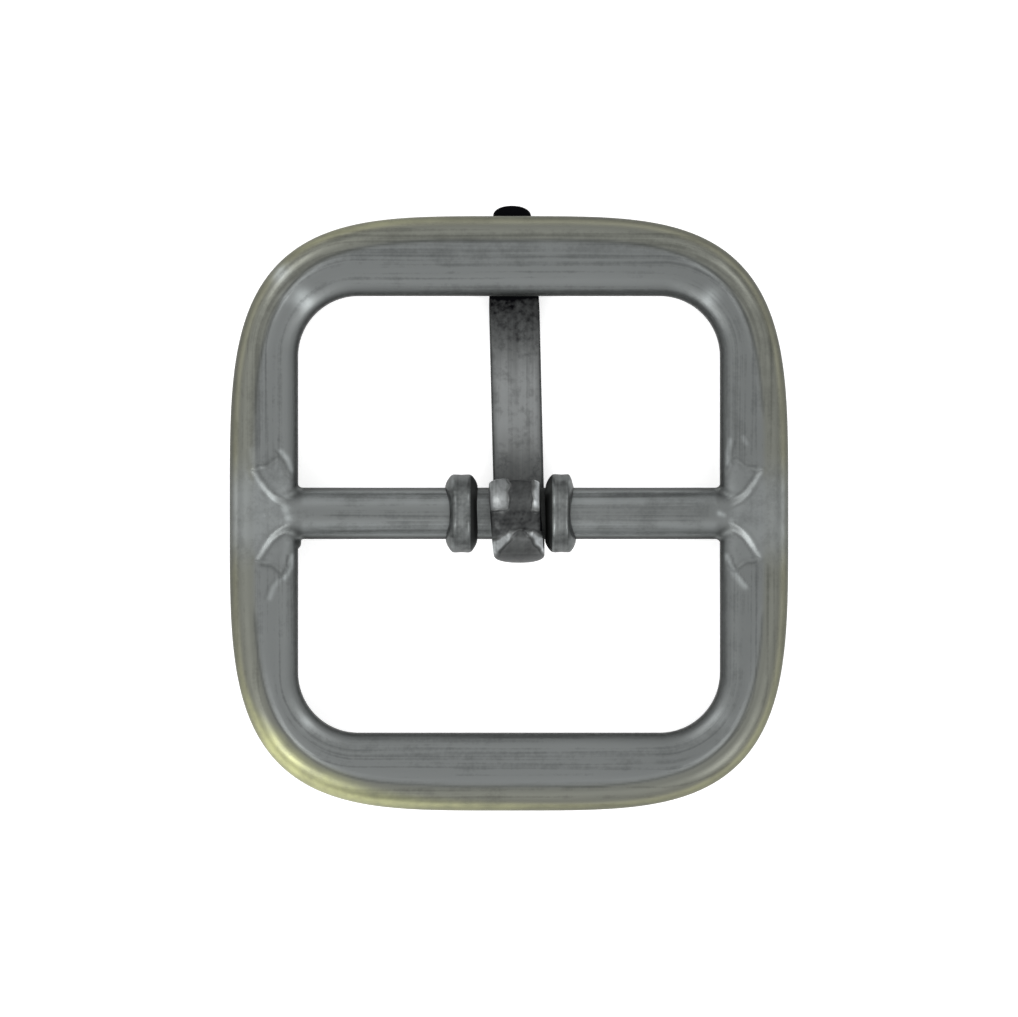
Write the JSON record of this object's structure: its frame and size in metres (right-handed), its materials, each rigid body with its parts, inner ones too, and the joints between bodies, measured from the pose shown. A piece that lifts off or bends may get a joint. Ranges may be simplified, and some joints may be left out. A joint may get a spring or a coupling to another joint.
{
  "type": "belt buckle",
  "caption": "Rounded-square belt buckle: a domed cast frame with a round centre bar, and a flat prong wrapped round the bar between stop collars, which swings out behind the frame.",
  "frame": {"origin": "middle of the centre bar, on the axis that the prong swings about", "axes": "+X along the bar, +Y the way the resting prong points, +Z out of the domed front"},
  "size_m": [0.053, 0.0573, 0.0092],
  "materials": {
    "antique_nickel": "brushed antique nickel plate, worn bright along the edges and dark in the recesses",
    "dark_nickel": "darker, rougher antique nickel plate, blotchy"
  },
  "bodies": {
    "frame": {"frame": "antique_nickel", "stop_collar_left": "antique_nickel", "stop_collar_right": "antique_nickel"},
    "prong": {"prong": "dark_nickel"}
  },
  "joints": [
    {"name": "prong_swing", "type": "hinge", "parent": "frame", "child": "prong", "pos_m": [0, 0, 0], "axis": [-1, 0, 0], "range_deg": [0, 160]}
  ]
}
